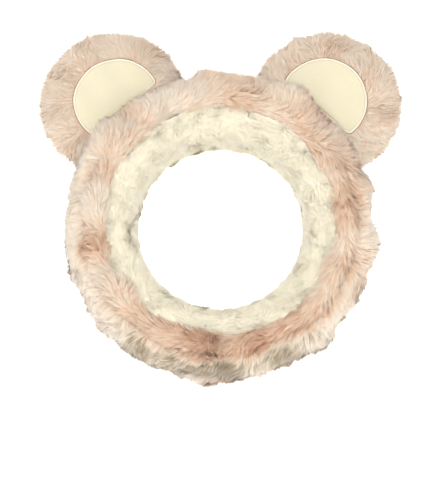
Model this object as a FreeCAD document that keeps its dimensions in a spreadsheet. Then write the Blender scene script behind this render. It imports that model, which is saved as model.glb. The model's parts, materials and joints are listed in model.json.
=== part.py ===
import FreeCAD, Part
import math
import os

import Sketcher

# Plush animal-ears headband: a padded, stretchy ring worn round the head, with two stuffed ears.
#
# Frame: +Z up, through the middle of the crown, where the ears stand. The ring's axis lies along Y
# and its front face, with the pale ear panels, looks towards -Y. The origin is the centre of the
# head opening. Lengths are in millimetres and angles in degrees. Pile counts as part of a fabric.
#
# The ring is sewn from a plush cover outside and a fleece lining inside, which meet in a front and
# a rear edge seam, round a foam core and an elastic. It stretches, so it is made as two halves that
# draw apart: the crown, which carries the ears, and the nape, where one closing seam joins its ends.

DIMENSIONS = (
    ("opening_radius", 60.0, "inner face of the lining, where the head goes"),
    ("section_radius", 22.0, "rounding of the ring's section, front and rear"),
    ("land_half_width", 10.0, "half of the straight stretch of the ring's section"),
    ("plush_thickness", 7.5, "plush cover of the ring, pile included"),
    ("lining_thickness", 5.0, "fleece lining of the ring, pile included"),
    ("foam_clearance", 0.3, "between the foam core and the cover"),
    ("elastic_standoff", 1.0, "between the lining and the elastic"),
    ("elastic_thickness", 1.5, "woven elastic"),
    ("elastic_half_width", 14.0, "half of the woven elastic's width"),
    ("seam_angle", 16.0, "edge seams, inside the section's widest point, degrees of the section"),
    ("seam_half_gap", 2.2, "half of the gap that an edge seam's thread fills, degrees of the section"),
    ("edge_thread_depth", 2.5, "from the fabric's surface to the middle of an edge seam's thread"),
    ("edge_thread_radius", 0.65, "thread of the edge seams"),
    ("closing_half_gap", 0.55, "half of the gap that the closing seam fills, degrees of the ring"),
    ("closing_thread_depth", 4.0, "from the fabric's surface to the middle of the closing thread"),
    ("closing_thread_radius", 0.6, "thread of the closing seam"),
    ("split_half_gap", 0.3, "half of the gap between crown and nape, degrees of the ring"),
    ("ear_lean", 40.4, "each ear's direction from straight up, degrees of the ring"),
    ("ear_distance", 116.8, "from the opening's centre to the middle of an ear's disc"),
    ("ear_radius", 50.5, "an ear's disc"),
    ("ear_half_thickness", 14.0, "half of a stuffed ear's thickness"),
    ("ear_plush_thickness", 3.5, "plush shells of an ear"),
    ("ear_filling_clearance", 0.3, "between an ear's filling and its shells"),
    ("ear_base_radius", 107.0, "hollow foot of an ear, which follows the ring"),
    ("ear_base_half_thickness", 4.0, "half of an ear's thickness where it is sewn down"),
    ("ear_filling_lift", 8.0, "how far above the foot an ear's filling starts"),
    ("ear_base_thread_radius", 0.6, "thread that sews an ear to the ring"),
    ("ear_base_thread_sweep", 50.0, "how far that thread runs, degrees of the ring"),
    ("rim_half_gap", 0.5, "half of the gap between an ear's front and back shells"),
    ("rim_thread_depth", 2.0, "from an ear's rim to the middle of its thread"),
    ("panel_radius", 30.0, "pale inner panel of an ear"),
    ("panel_lowering", 2.4, "from the disc's middle down to the middle of the panel's arc"),
    ("panel_drop", 5.9, "from the middle of that arc down to the panel's straight edge"),
    ("panel_recess", 2.0, "from the tips of the pile down to the panel's face"),
    ("panel_clearance", 0.3, "between the panel and the window cut for it"),
    ("binding_width", 1.6, "binding sewn round the panel's edge"),
    ("binding_recess", 1.0, "from the tips of the pile down to the binding"),
)

AXIS_Y = FreeCAD.Vector(0, 1, 0)
FULL_TURN = 360.0
START, END, CENTRE = 1, 2, 3        # a sketch element's points, as Sketcher counts them
X_AXIS, ROOT_POINT = -1, (-1, 1)    # a sketch's own horizontal axis and origin

doc = FreeCAD.newDocument("headband")
subparts = []


# ---------------------------------------------------------------- sizes

def make_sheet():
    """Write every driving dimension into a spreadsheet, each under its own alias."""
    table = doc.addObject("Spreadsheet::Sheet", "Sheet")
    for row, (alias, value, meaning) in enumerate(DIMENSIONS, start=1):
        table.set(f"A{row}", meaning)
        table.set(f"B{row}", str(value))
        table.setAlias(f"B{row}", alias)
    doc.recompute()
    return table


class Size:
    """A number together with the spreadsheet expression that gives it."""

    def __init__(self, value, text):
        self.value = value
        self.text = text

    def __add__(self, other):
        other = as_size(other)
        return Size(self.value + other.value, f"({self.text} + {other.text})")

    def __sub__(self, other):
        other = as_size(other)
        return Size(self.value - other.value, f"({self.text} - {other.text})")

    def __mul__(self, other):
        other = as_size(other)
        return Size(self.value * other.value, f"({self.text} * {other.text})")

    def __neg__(self):
        return Size(-self.value, f"(-1 * {self.text})")


def as_size(number):
    return number if isinstance(number, Size) else Size(float(number), str(float(number)))


def dimension(alias):
    return Size(float(sheet.get(alias)), f"Sheet.{alias}")


def sine(angle):
    return Size(math.sin(math.radians(angle.value)), f"sin({angle.text} * 1 deg)")


def cosine(angle):
    return Size(math.cos(math.radians(angle.value)), f"cos({angle.text} * 1 deg)")


# ---------------------------------------------------------------- sketches

def new_body(label):
    body = doc.addObject("PartDesign::Body", label)
    body.Label = label
    return body


def new_sketch(body, role, name):
    """A sketch on one of the body's own origin planes."""
    sketch = body.newObject("Sketcher::SketchObject", name)
    plane = next(item for item in body.Origin.OriginFeatures if item.Role == role)
    sketch.AttachmentSupport = [(plane, "")]
    sketch.MapMode = "FlatFace"
    return sketch


def bind(sketch, kind, places, size, unit="mm"):
    """Add a dimension to a sketch and tie it to the spreadsheet."""
    value = math.radians(size.value) if unit == "deg" else size.value
    index = sketch.addConstraint(Sketcher.Constraint(kind, *places, value))
    name = f"size_{index}"
    sketch.renameConstraint(index, name)
    sketch.setExpression(f"Constraints.{name}", f"{size.text} * 1 {unit}")


def fix(sketch, kind, *places):
    sketch.addConstraint(Sketcher.Constraint(kind, *places))


def place_point(sketch, element, point, across, up):
    """Hold one point of a sketch element at a distance from the sketch's origin."""
    bind(sketch, "DistanceX", (*ROOT_POINT, element, point), across)
    bind(sketch, "DistanceY", (*ROOT_POINT, element, point), up)


def add_arc(sketch, centre, radius, first, last):
    circle = Part.Circle(FreeCAD.Vector(*centre, 0), FreeCAD.Vector(0, 0, 1), radius)
    return sketch.addGeometry(Part.ArcOfCircle(circle, math.radians(first), math.radians(last)))


def add_line(sketch, start, end):
    return sketch.addGeometry(Part.LineSegment(FreeCAD.Vector(*start, 0), FreeCAD.Vector(*end, 0)))


def draw_circle(sketch, across, up, radius):
    centre = FreeCAD.Vector(across.value, up.value, 0)
    circle = sketch.addGeometry(Part.Circle(centre, FreeCAD.Vector(0, 0, 1), radius.value))
    place_point(sketch, circle, CENTRE, across, up)
    bind(sketch, "Radius", (circle,), radius)


def draw_polygon(sketch, corners):
    """A closed outline of straight edges through corners given as (across, up) sizes."""
    values = [(across.value, up.value) for across, up in corners]
    lines = [add_line(sketch, start, end) for start, end in zip(values, values[1:] + values[:1])]
    for line, following in zip(lines, lines[1:] + lines[:1]):
        fix(sketch, "Coincident", line, END, following, START)
    for line, (across, up) in zip(lines, corners):
        place_point(sketch, line, START, across, up)


def draw_slot(sketch, middle, half_width, radius):
    """A closed slot: two half circles, side by side along the sketch's vertical."""
    across, half = middle.value, half_width.value
    near = add_arc(sketch, (across, -half), radius.value, 180, FULL_TURN)
    far = add_arc(sketch, (across, half), radius.value, 0, 180)
    outer = add_line(sketch, (across + radius.value, -half), (across + radius.value, half))
    inner = add_line(sketch, (across - radius.value, half), (across - radius.value, -half))
    fix(sketch, "Tangent", near, END, outer, START)
    fix(sketch, "Tangent", outer, END, far, START)
    fix(sketch, "Tangent", far, END, inner, START)
    fix(sketch, "Tangent", inner, END, near, START)
    place_point(sketch, near, CENTRE, middle, -half_width)
    place_point(sketch, far, CENTRE, middle, half_width)
    bind(sketch, "Radius", (near,), radius)


def draw_layer(sketch, side, middle, half_width, outer_radius, inner_radius, edge):
    """A C-shaped layer of the ring's section, open towards the other fabric.

    side is 1 for the layer away from the head and -1 for the one against it. Each end of the C
    wraps round the section by the angle edge, from the straight stretch to the seam.
    """
    across, half, reach = middle.value, half_width.value, edge.value
    near_first, near_last = (-reach, 0) if side > 0 else (180, 180 + reach)
    far_first, far_last = (0, reach) if side > 0 else (180 - reach, 180)
    near_seam, near_flat = (START, END) if side > 0 else (END, START)
    far_flat, far_seam = (START, END) if side > 0 else (END, START)
    loops = []
    for radius in (outer_radius, inner_radius):
        near = add_arc(sketch, (across, -half), radius.value, near_first, near_last)
        far = add_arc(sketch, (across, half), radius.value, far_first, far_last)
        level = across + side * radius.value
        flat = add_line(sketch, (level, -half), (level, half))
        fix(sketch, "Tangent", near, near_flat, flat, START)
        fix(sketch, "Tangent", flat, END, far, far_flat)
        bind(sketch, "Radius", (near,), radius)
        bind(sketch, "Angle", (near,), edge, unit="deg")
        bind(sketch, "Angle", (far,), edge, unit="deg")
        place_point(sketch, near, CENTRE, middle, -half_width)
        bind(sketch, "DistanceY", (*ROOT_POINT, far, CENTRE), half_width)
        loops.append((near, far))
    for arcs, point in zip(zip(*loops), (near_seam, far_seam)):
        ends = [sketch.getPoint(arc, point) for arc in arcs]
        line = add_line(sketch, (ends[0].x, ends[0].y), (ends[1].x, ends[1].y))
        fix(sketch, "Coincident", arcs[0], point, line, START)
        fix(sketch, "Coincident", arcs[1], point, line, END)


# ---------------------------------------------------------------- features

def revolve(body, sketch, axis, angle):
    turn = body.newObject("PartDesign::Revolution", f"{body.Name}_turn")
    turn.Profile = sketch
    turn.ReferenceAxis = (sketch, [axis])
    turn.setExpression("Angle", angle.text)
    return turn


def cut_through(body, sketch, name):
    """Cut a sketch right through the body, both ways, and make sure that it cut something."""
    doc.recompute()
    before = body.Shape.Volume
    pocket = body.newObject("PartDesign::Pocket", f"{body.Name}_{name}")
    pocket.Profile = sketch
    pocket.Type = "ThroughAll"
    pocket.Midplane = True
    doc.recompute()
    if not body.Shape.Volume < before:
        raise RuntimeError(f"{body.Name}: {name} cut nothing")


def turned_about_ring(angle):
    return FreeCAD.Placement(FreeCAD.Vector(), FreeCAD.Rotation(AXIS_Y, angle))


def ring_piece(label, draw, first, last):
    """A piece of the ring: its section, turned about the ring's axis from one angle to another.

    Angles count from +X towards -Z, so the nape lies between 0 and 180 and the crown beyond.
    """
    body = new_body(label)
    sketch = new_sketch(body, "XY_Plane", f"{label}_section")
    draw(sketch)
    revolve(body, sketch, "V_Axis", last - first)
    body.Placement = turned_about_ring(first.value)
    subparts.append(body)


def combine(kind, name, first, second):
    """A Part boolean of two objects: Part::Cut or Part::Common."""
    result = doc.addObject(kind, name)
    result.Base = first
    result.Tool = second
    return result


# ---------------------------------------------------------------- the ring

def ring_sections():
    """The ring's layers, each as a function that draws its section."""
    half_width = dimension("land_half_width")
    outside = dimension("section_radius")
    middle = dimension("opening_radius") + outside
    seam_angle = dimension("seam_angle")
    gap = dimension("seam_half_gap")
    cover_edge = as_size(90) + seam_angle - gap
    lining_edge = as_size(90) - seam_angle - gap
    cover_inside = outside - dimension("plush_thickness")
    lining_inside = outside - dimension("lining_thickness")
    elastic_low = dimension("opening_radius") + dimension("lining_thickness") + dimension("elastic_standoff")
    elastic_high = elastic_low + dimension("elastic_thickness")
    elastic_half = dimension("elastic_half_width")
    thread_reach = outside - dimension("edge_thread_depth")
    thread_across = middle - thread_reach * sine(seam_angle)
    thread_along = half_width + thread_reach * cosine(seam_angle)
    thread_radius = dimension("edge_thread_radius")
    elastic_corners = (
        (elastic_low, -elastic_half),
        (elastic_high, -elastic_half),
        (elastic_high, elastic_half),
        (elastic_low, elastic_half),
    )
    return {
        "plush_cover": lambda s: draw_layer(s, 1, middle, half_width, outside, cover_inside, cover_edge),
        "fleece_lining": lambda s: draw_layer(s, -1, middle, half_width, outside, lining_inside, lining_edge),
        "foam_core": lambda s: draw_slot(s, middle, half_width, cover_inside - dimension("foam_clearance")),
        "elastic": lambda s: draw_polygon(s, elastic_corners),
        "front_seam_thread": lambda s: draw_circle(s, thread_across, -thread_along, thread_radius),
        "rear_seam_thread": lambda s: draw_circle(s, thread_across, thread_along, thread_radius),
    }


def make_ring():
    """Crown and nape halves of every layer; the nape's fabrics end at the closing seam."""
    gap = dimension("split_half_gap")
    closing = dimension("closing_half_gap")
    crown = (as_size(180) + gap, as_size(FULL_TURN) - gap)
    nape = (gap, as_size(180) - gap)
    nape_right = (gap, as_size(90) - closing)
    nape_left = (as_size(90) + closing, as_size(180) - gap)
    for layer, draw in ring_sections().items():
        ring_piece(f"crown_{layer}", draw, *crown)
        if layer in ("plush_cover", "fleece_lining"):
            ring_piece(f"nape_{layer}_left", draw, *nape_left)
            ring_piece(f"nape_{layer}_right", draw, *nape_right)
        else:
            ring_piece(f"nape_{layer}", draw, *nape)


def make_closing_seam():
    """The thread that joins the band's two ends at the nape, all round its section."""
    body = new_body("nape_closing_seam_thread")
    reach = dimension("section_radius") - dimension("closing_thread_depth")
    middle = dimension("opening_radius") + dimension("section_radius")
    path = new_sketch(body, "XY_Plane", "closing_path")
    draw_slot(path, middle, dimension("land_half_width"), reach)
    profile = new_sketch(body, "XZ_Plane", "closing_profile")
    draw_circle(profile, middle + reach, as_size(0), dimension("closing_thread_radius"))
    pipe = body.newObject("PartDesign::AdditivePipe", "closing_pipe")
    pipe.Profile = profile
    pipe.Spine = path
    body.Placement = turned_about_ring(90)
    subparts.append(body)


# ---------------------------------------------------------------- the ears

# An ear is drawn with its disc's middle at the origin and its foot towards -Z, then leaned over.

def draw_disc_half(sketch, radius, half_thickness):
    """Half of a disc's section: flat faces and a round rim."""
    shoulder = radius - half_thickness
    half, high = half_thickness.value, shoulder.value
    foot = add_line(sketch, (-half, 0), (half, 0))
    back = add_line(sketch, (half, 0), (half, high))
    rim = add_arc(sketch, (0, high), half, 0, 180)
    front = add_line(sketch, (-half, high), (-half, 0))
    fix(sketch, "Coincident", foot, END, back, START)
    fix(sketch, "Tangent", back, END, rim, START)
    fix(sketch, "Tangent", rim, END, front, START)
    fix(sketch, "Coincident", front, END, foot, START)
    place_point(sketch, foot, START, -half_thickness, as_size(0))
    bind(sketch, "DistanceY", (*ROOT_POINT, foot, END), as_size(0))
    place_point(sketch, rim, CENTRE, as_size(0), shoulder)
    bind(sketch, "Radius", (rim,), half_thickness)


def cut_foot(body, radius):
    """Hollow out the foot, so that it follows the ring."""
    sketch = new_sketch(body, "XZ_Plane", f"{body.Name}_foot_outline")
    draw_circle(sketch, as_size(0), -dimension("ear_distance"), radius)
    cut_through(body, sketch, "foot")


def ear_form(name, inset, lift):
    """A solid of the ear's whole shape, drawn in by inset all round, its foot raised by lift."""
    radius = dimension("ear_radius") - inset
    half_thickness = dimension("ear_half_thickness") - inset
    body = new_body(name)
    section = new_sketch(body, "YZ_Plane", f"{name}_section")
    draw_disc_half(section, radius, half_thickness)
    revolve(body, section, "H_Axis", as_size(FULL_TURN))
    thin = dimension("ear_base_half_thickness") - inset
    wide = half_thickness + 2
    foot_level = dimension("ear_base_radius") - dimension("ear_distance")
    bend = foot_level + inset * (math.sqrt(2) - 1)
    shoulder = bend + wide - thin
    below = -radius - 2
    taper = new_sketch(body, "YZ_Plane", f"{name}_taper_outline")
    for sign in (-1, 1):
        corners = ((thin, below), (thin, bend), (wide, shoulder), (wide, below))
        draw_polygon(taper, [(across * sign, up) for across, up in corners])
    cut_through(body, taper, "taper")
    cut_foot(body, dimension("ear_base_radius") + lift)
    return body


def panel_prism(name, radius, drop):
    """A D-shaped block through the ear's front: a disc with its lower part cut off straight."""
    body = new_body(name)
    outline = new_sketch(body, "XZ_Plane", f"{name}_outline")
    lowering = dimension("panel_lowering")
    chord_level = -(lowering + drop)
    half_chord = math.sqrt(radius.value ** 2 - drop.value ** 2)
    dip = math.degrees(math.asin(drop.value / radius.value))
    arc = add_arc(outline, (0, -lowering.value), radius.value, -dip, 180 + dip)
    chord = add_line(outline, (-half_chord, chord_level.value), (half_chord, chord_level.value))
    fix(outline, "Coincident", arc, END, chord, START)
    fix(outline, "Coincident", chord, END, arc, START)
    fix(outline, "Horizontal", chord)
    place_point(outline, arc, CENTRE, as_size(0), -lowering)
    bind(outline, "Radius", (arc,), radius)
    bind(outline, "DistanceY", (*ROOT_POINT, chord, START), chord_level)
    pad = body.newObject("PartDesign::Pad", f"{name}_pad")
    pad.Profile = outline
    pad.setExpression("Length", (dimension("ear_half_thickness") + 2).text)
    doc.recompute()
    if body.Shape.BoundBox.YMin > -1:
        pad.Reversed = True
    return body


def half_block(name, sign):
    """A block that holds the half of an ear in front of (-1) or behind (1) its rim seam."""
    reach = dimension("ear_radius") * 2
    block = doc.addObject("Part::Box", name)
    for side in ("Length", "Width", "Height"):
        block.setExpression(side, reach.text)
    gap = dimension("rim_half_gap").value
    low = gap if sign > 0 else -gap - reach.value
    block.Placement.Base = FreeCAD.Vector(-reach.value / 2, low, -reach.value / 2)
    return block


def rim_thread_form():
    """The thread round an ear's rim, which ends at the ear's foot."""
    body = new_body("rim_thread_form")
    sketch = new_sketch(body, "YZ_Plane", "rim_thread_section")
    reach = dimension("ear_radius") - dimension("rim_thread_depth")
    draw_circle(sketch, as_size(0), reach, dimension("rim_half_gap"))
    revolve(body, sketch, "H_Axis", as_size(FULL_TURN))
    cut_foot(body, dimension("ear_base_radius"))
    return body


def ear_forms():
    """The solids that both ears are cut from."""
    no_inset = as_size(0)
    shell = dimension("ear_plush_thickness")
    clearance = dimension("ear_filling_clearance")
    lift = dimension("ear_filling_lift")
    radius, drop = dimension("panel_radius"), dimension("panel_drop")
    width = dimension("binding_width")
    margin = dimension("panel_clearance")
    return {
        "outside": ear_form("ear_outside", no_inset, no_inset),
        "binding_face": ear_form("ear_binding_face", dimension("binding_recess"), no_inset),
        "panel_face": ear_form("ear_panel_face", dimension("panel_recess"), no_inset),
        "inside": ear_form("ear_inside", shell, lift - clearance),
        "filling": ear_form("ear_filling_form", shell + clearance, lift),
        "window": panel_prism("panel_window", radius + margin, drop + margin),
        "panel": panel_prism("panel_outline", radius, drop),
        "within_binding": panel_prism("binding_inner_outline", radius - width, drop - width),
        "front": half_block("front_half", -1),
        "back": half_block("back_half", 1),
        "rim_thread": rim_thread_form(),
    }


def make_ear(side, sign, forms):
    """One ear's pieces; sign is -1 for the ear towards -X and 1 for the other."""
    pieces = {}

    def step(kind, name, first, second):
        return combine(kind, f"{side}_{name}", first, second)

    front_outside = step("Part::Common", "front_outside", forms["outside"], forms["front"])
    front_shell = step("Part::Cut", "front_shell", front_outside, forms["inside"])
    pieces["front_plush"] = step("Part::Cut", "front_plush", front_shell, forms["window"])

    back_outside = step("Part::Common", "back_outside", forms["outside"], forms["back"])
    pieces["back_plush"] = step("Part::Cut", "back_plush", back_outside, forms["inside"])

    panel_block = step("Part::Common", "panel_block", forms["panel_face"], forms["front"])
    panel_sheet = step("Part::Cut", "panel_sheet", panel_block, forms["inside"])
    pieces["inner_panel"] = step("Part::Common", "inner_panel", panel_sheet, forms["panel"])

    binding_sheet = step("Part::Cut", "binding_sheet", forms["binding_face"], forms["panel_face"])
    binding_ring = step("Part::Cut", "binding_ring", forms["panel"], forms["within_binding"])
    pieces["panel_binding"] = step("Part::Common", "panel_binding", binding_sheet, binding_ring)

    # The same block twice leaves the form as it is, so each ear has its own copy to lean over.
    pieces["filling"] = step("Part::Common", "filling", forms["filling"], forms["outside"])
    pieces["rim_thread"] = step("Part::Common", "rim_thread", forms["rim_thread"], forms["outside"])

    lean = dimension("ear_lean").value * sign
    lift = FreeCAD.Placement(FreeCAD.Vector(0, 0, dimension("ear_distance").value), FreeCAD.Rotation())
    for name, piece in pieces.items():
        piece.Label = f"{side}_ear_{name}"
        piece.Placement = turned_about_ring(lean).multiply(lift)
        subparts.append(piece)


def make_ear_base_thread(side, sign):
    """The thread that sews an ear's foot to the ring; it lies on the cover."""
    radius = dimension("ear_base_thread_radius")
    ring_outside = dimension("opening_radius") + dimension("section_radius") * 2
    sweep = dimension("ear_base_thread_sweep")
    straight_up = 270
    middle = as_size(straight_up) + dimension("ear_lean") * sign
    first = middle - sweep * 0.5
    ring_piece(
        f"{side}_ear_base_thread",
        lambda s: draw_circle(s, ring_outside + radius, as_size(0), radius),
        first,
        first + sweep,
    )


# ---------------------------------------------------------------- checks and export

def check_document():
    for item in doc.Objects:
        bad = [state for state in item.State if state in ("Invalid", "Error")]
        if bad:
            raise RuntimeError(f"{item.Label}: {bad}")
    for piece in subparts:
        shape = piece.Shape
        if shape.isNull() or not shape.isValid() or not shape.Solids:
            raise RuntimeError(f"{piece.Label}: not a valid solid")


def export():
    os.makedirs("parts", exist_ok=True)
    for piece in subparts:
        piece.Shape.exportStep(f"parts/{piece.Label}.step")
        box = piece.Shape.BoundBox
        print(
            f"{piece.Label:28s} solids {len(piece.Shape.Solids)}  volume {piece.Shape.Volume:9.1f}"
            f"  x {box.XMin:7.1f} {box.XMax:7.1f}  y {box.YMin:6.1f} {box.YMax:6.1f}"
            f"  z {box.ZMin:7.1f} {box.ZMax:7.1f}"
        )


sheet = make_sheet()
make_ring()
make_closing_seam()
shared_forms = ear_forms()
for ear_side, ear_sign in (("left", -1), ("right", 1)):
    make_ear(ear_side, ear_sign, shared_forms)
    make_ear_base_thread(ear_side, ear_sign)
doc.recompute()
check_document()
export()
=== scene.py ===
import json
import math

import bpy
import numpy as np
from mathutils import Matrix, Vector
from mathutils.bvhtree import BVHTree
from mathutils.kdtree import KDTree


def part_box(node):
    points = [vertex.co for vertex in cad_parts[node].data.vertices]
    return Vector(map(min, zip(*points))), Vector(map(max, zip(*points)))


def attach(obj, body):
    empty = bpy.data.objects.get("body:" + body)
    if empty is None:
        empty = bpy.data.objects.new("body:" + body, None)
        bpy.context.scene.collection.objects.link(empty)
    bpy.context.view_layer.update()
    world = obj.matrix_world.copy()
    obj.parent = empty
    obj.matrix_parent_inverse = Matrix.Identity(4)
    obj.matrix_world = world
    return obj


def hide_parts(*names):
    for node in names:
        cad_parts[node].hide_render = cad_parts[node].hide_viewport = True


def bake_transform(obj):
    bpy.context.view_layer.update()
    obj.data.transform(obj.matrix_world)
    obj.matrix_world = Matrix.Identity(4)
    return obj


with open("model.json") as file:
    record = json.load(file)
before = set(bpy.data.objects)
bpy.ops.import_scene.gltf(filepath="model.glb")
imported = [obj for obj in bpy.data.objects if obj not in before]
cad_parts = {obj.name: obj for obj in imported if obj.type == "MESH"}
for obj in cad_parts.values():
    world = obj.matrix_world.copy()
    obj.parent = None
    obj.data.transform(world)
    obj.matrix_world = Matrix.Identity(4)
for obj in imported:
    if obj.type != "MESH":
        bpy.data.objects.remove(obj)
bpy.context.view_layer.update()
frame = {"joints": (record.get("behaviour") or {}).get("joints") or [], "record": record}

# A plush animal-ears headband: a padded ring of soft pink pile with an ivory fleece lining, and two
# stuffed ears with pale velour panels. Lengths are in metres. The ring's axis is Y, its front faces
# -Y, and +Z runs up between the ears. "around" is the angle round the ring, from straight up towards
# +X. "turn" is the angle round the ring's section, from outermost towards the front.

MM = 0.001
Y_AXIS = np.array([0.0, 1.0, 0.0])


# ---------------------------------------------------------------- sizes from the frame

JOINTS = {joint["name"]: joint for joint in frame["joints"]}
OPENING = frame["record"]["mounts"][0]["dims"]["r_mm"] * MM
COVER_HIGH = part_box("crown_plush_cover")[1]
RING_OUTSIDE = COVER_HIGH.z
SECTION_RADIUS = (RING_OUTSIDE - OPENING) / 2
RING_MIDDLE = OPENING + SECTION_RADIUS
LAND_HALF = COVER_HIGH.y - SECTION_RADIUS
EAR_FOOT = Vector(JOINTS["right_ear_flop"]["pos_m"])
EAR_LEAN = math.atan2(EAR_FOOT.x, EAR_FOOT.z)
ELASTIC_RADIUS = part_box("crown_elastic")[1].z
ELASTIC_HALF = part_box("crown_elastic")[1].y
FOAM_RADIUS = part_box("crown_foam_core")[1].y - LAND_HALF

# Where the fabrics' backing lies under the pile.
COVER_SKIN = SECTION_RADIUS - 1.4 * MM
LINING_SKIN = SECTION_RADIUS + 0.7 * MM

# Turns of the edge seams and of the front crease, and the closing seam's angle round the ring.
SEAM_TURN = math.radians(90 + 16)
CREASE_TURN = math.radians(66)
CLOSING = math.pi

# The ears. The middles and the chord are measured outward from the ring's axis.
EAR_MIDDLE = 117.8 * MM
EAR_SKIN = 48.6 * MM      # radius of the ear's backing
EAR_HALF = 11.0 * MM      # half the ear's thickness, before it is stuffed
EAR_FOOT_HALF = math.radians(20)    # half the sewn foot's length, round the ring
PANEL_MIDDLE = 114.6 * MM
PANEL_RADIUS = 30.0 * MM
PANEL_CHORD = 106.8 * MM  # the straight lower edge of the D
PANEL_ASIDE = 2.0 * MM    # towards the crown's middle


# ---------------------------------------------------------------- smooth random fields

class Waves:
    """A smooth random field of about unit size: many sine waves in random directions."""

    def __init__(self, seed, wavelength, count=28):
        rng = np.random.default_rng(seed)
        directions = rng.normal(size=(count, 3))
        directions /= np.linalg.norm(directions, axis=1)[:, None]
        lengths = wavelength * rng.uniform(0.7, 1.5, count)
        self.waves = directions * (2 * math.pi / lengths)[:, None]
        self.phases = rng.uniform(0, 2 * math.pi, count)
        self.scale = math.sqrt(2 / count)

    def __call__(self, points):
        return np.sin(points @ self.waves.T + self.phases).sum(axis=1) * self.scale


def unit(vectors):
    length = np.linalg.norm(vectors, axis=1)[:, None]
    return vectors / np.maximum(length, 1e-12)


def turned(first, second, angle):
    """Directions that turn from first towards second, by an angle for each point."""
    return first * np.cos(angle)[:, None] + second * np.sin(angle)[:, None]


def smooth(x):
    x = np.clip(x, 0, 1)
    return x * x * (3 - 2 * x)


# ---------------------------------------------------------------- meshes

def linked(name, data):
    """A new object of the scene."""
    made = bpy.data.objects.new(name, data)
    bpy.context.scene.collection.objects.link(made)
    return made


def new_object(name, vertices, faces):
    mesh = bpy.data.meshes.new(name)
    mesh.from_pydata(np.asarray(vertices).tolist(), [], [tuple(face) for face in faces])
    mesh.update()
    mesh.shade_smooth()
    return linked(name, mesh)


def positions(mesh):
    vertices = np.empty(len(mesh.vertices) * 3)
    mesh.vertices.foreach_get("co", vertices)
    return vertices.reshape(-1, 3)


def vertex_normals(mesh):
    normals = np.empty(len(mesh.vertices) * 3, np.float32)
    mesh.vertex_normals.foreach_get("vector", normals)
    return normals.reshape(-1, 3).astype(float)


def triangles_of(mesh):
    mesh.calc_loop_triangles()
    triangles = np.empty(len(mesh.loop_triangles) * 3, np.int32)
    mesh.loop_triangles.foreach_get("vertices", triangles)
    return triangles.reshape(-1, 3)


def grid_faces(rows, columns, wrap_columns=False):
    """Quads of a grid whose last row joins its first; its last column does if wrap_columns is true."""
    faces = []
    for row in range(rows):
        following = (row + 1) % rows
        for column in range(columns if wrap_columns else columns - 1):
            beside = (column + 1) % columns
            faces.append((
                row * columns + column,
                row * columns + beside,
                following * columns + beside,
                following * columns + column,
            ))
    return faces


def joined(name, parts):
    """One mesh piece of several (vertices, faces) arrays."""
    vertices, faces, start = [], [], 0
    for part_vertices, part_faces in parts:
        vertices.append(part_vertices)
        faces.extend(tuple(index + start for index in face) for face in part_faces)
        start += len(part_vertices)
    return new_object(name, np.concatenate(vertices), faces)


# ---------------------------------------------------------------- padding, by cloth simulation

SIMULATED_FRAMES = 20


def puffed(vertices, faces, voxel, pressure, cap, is_pinned):
    """The surface that a sewn form takes when it is stuffed, as a tree to cast rays at.

    The form is remeshed evenly, then swells as cloth under pressure. Its seams are pinned, and no
    point moves further than cap.
    """
    form = new_object("form", vertices, faces)
    remesh = form.modifiers.new("remesh", "REMESH")
    remesh.mode = "VOXEL"
    remesh.voxel_size = voxel
    bpy.context.view_layer.update()
    even = bpy.data.meshes.new_from_object(form.evaluated_get(bpy.context.evaluated_depsgraph_get()))
    form.modifiers.remove(remesh)
    form.data = even
    start = positions(even)
    end = start
    pins = form.vertex_groups.new(name="pins")
    pins.add([int(index) for index in np.flatnonzero(is_pinned(start))], 1.0, "REPLACE")
    cloth = form.modifiers.new("cloth", "CLOTH")
    settings = cloth.settings
    settings.quality = 5
    settings.mass = 0.3
    settings.tension_stiffness = 12
    settings.compression_stiffness = 8
    settings.bending_stiffness = 0.4
    settings.use_pressure = True
    settings.uniform_pressure_force = pressure
    settings.vertex_group_mass = "pins"
    settings.effector_weights.gravity = 0
    cloth.point_cache.frame_start = 1
    cloth.point_cache.frame_end = SIMULATED_FRAMES
    for number in range(1, SIMULATED_FRAMES + 1):
        bpy.context.scene.frame_set(number)
    swollen = form.evaluated_get(bpy.context.evaluated_depsgraph_get())
    end = positions(swollen.data)
    bpy.context.scene.frame_set(1)
    moved = end - start
    reach = np.linalg.norm(moved, axis=1)[:, None]
    end = start + moved * np.minimum(1, cap / np.maximum(reach, 1e-9))
    tree = BVHTree.FromPolygons(end.tolist(), [tuple(face.vertices) for face in even.polygons])
    bpy.data.objects.remove(form)
    return tree


def laid_on(tree, vertices, normals, reach):
    """How far each vertex moves along its normal to lie on a puffed surface; 0 where it misses."""
    distance = np.zeros(len(vertices))
    for index, (vertex, normal) in enumerate(zip(vertices, normals)):
        outside = Vector(vertex + normal * reach)
        hit = tree.ray_cast(outside, Vector(-normal), 2 * reach)
        if hit[0] is not None:
            distance[index] = reach - hit[3]
    return distance


# ---------------------------------------------------------------- the ring's shape

LAND_END = 0.6    # sine of the turn at which the section's straight side ends


def section_point(turn, radius):
    """Distance from the axis and place along it, round the ring's slot-shaped section."""
    across = np.clip(np.sin(turn) / LAND_END, -1, 1)
    straight = np.sin(across * math.pi / 2)
    return RING_MIDDLE + radius * np.cos(turn), -(LAND_HALF * straight + radius * np.sin(turn))


def ring_points(around, turn, radius):
    reach, along = section_point(turn, radius)
    return np.stack([np.sin(around) * reach, along, np.cos(around) * reach], axis=-1)


def ring_grid(turns, rings):
    around, turn = np.meshgrid(np.linspace(0, 2 * math.pi, rings, endpoint=False), turns, indexing="ij")
    return around.ravel(), turn.ravel()


def ring_frame(points):
    """Unit vectors at points of the ring: outward from the axis, and round the ring."""
    out = unit(points * np.array([1, 0, 1]))
    round_ring = np.stack([out[:, 2], np.zeros(len(out)), -out[:, 0]], axis=1)
    return out, round_ring


def angle_around(points):
    return np.arctan2(points[:, 0], points[:, 2])


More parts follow.
